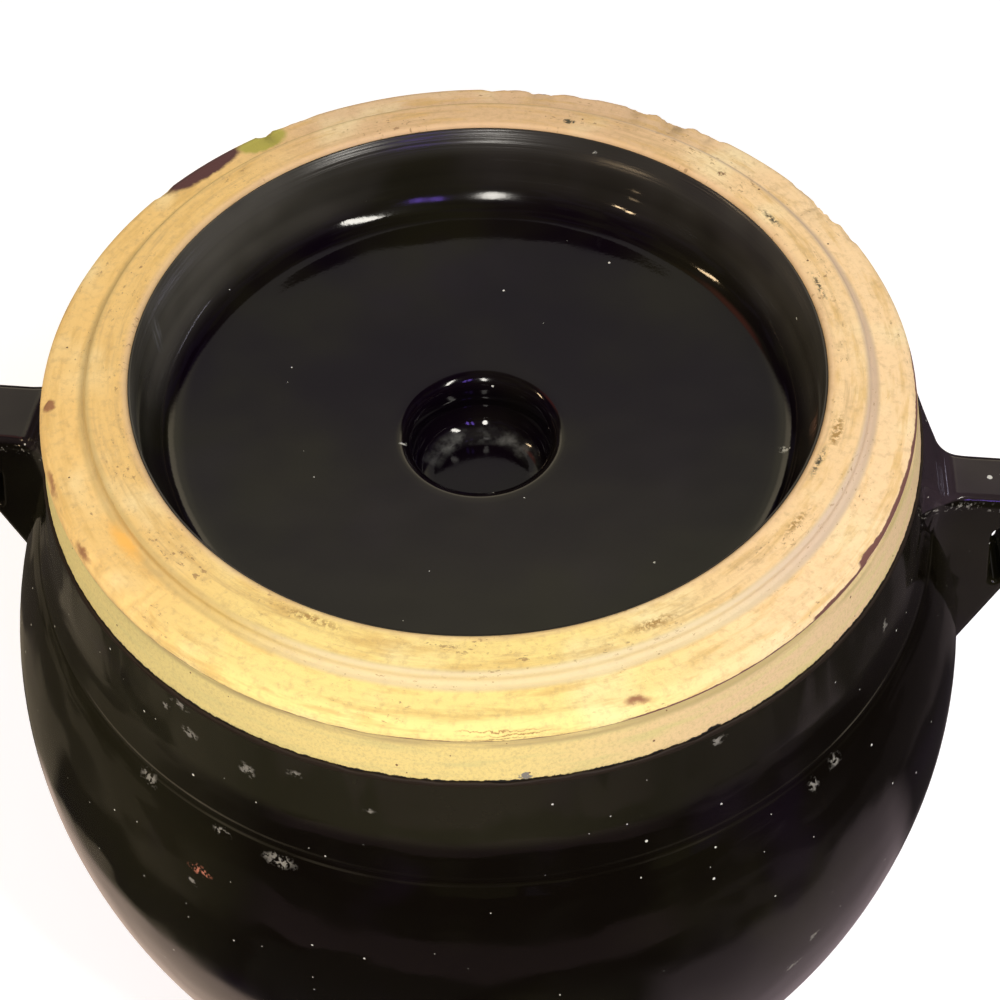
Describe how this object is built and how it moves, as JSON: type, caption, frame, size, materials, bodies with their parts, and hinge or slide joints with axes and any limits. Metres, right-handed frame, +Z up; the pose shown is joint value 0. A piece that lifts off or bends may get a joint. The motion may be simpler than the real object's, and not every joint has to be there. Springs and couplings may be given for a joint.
{
  "type": "lidded bean pot",
  "caption": "Round-bellied dark-glazed stoneware bean pot with ear handles and a loose dished lid lying upside down on its bare rim",
  "frame": {"origin": "centre of the circle that the pot's foot ring stands on, at the bottom of the pot", "axes": "+Z up along the pot's axis; +X towards the right handle, -X towards the left handle; +Y to the back"},
  "size_m": [0.242, 0.2256, 0.1839],
  "materials": {
    "bare_clay": "matt, unglazed",
    "dark_glaze": "gloss"
  },
  "bodies": {
    "pot": {"pot_body": "bare_clay", "handle_right": "dark_glaze", "handle_left": "dark_glaze", "glaze_outside": "dark_glaze", "glaze_inside": "dark_glaze"},
    "lid": {"lid": "bare_clay", "lid_knob": "bare_clay", "lid_glaze_dish": "dark_glaze", "lid_glaze_top": "dark_glaze"}
  },
  "joints": [
    {"name": "lid_lift", "type": "slide", "parent": "pot", "child": "lid", "axis": [0, 0, 1], "range_m": [0, 0.06]}
  ]
}
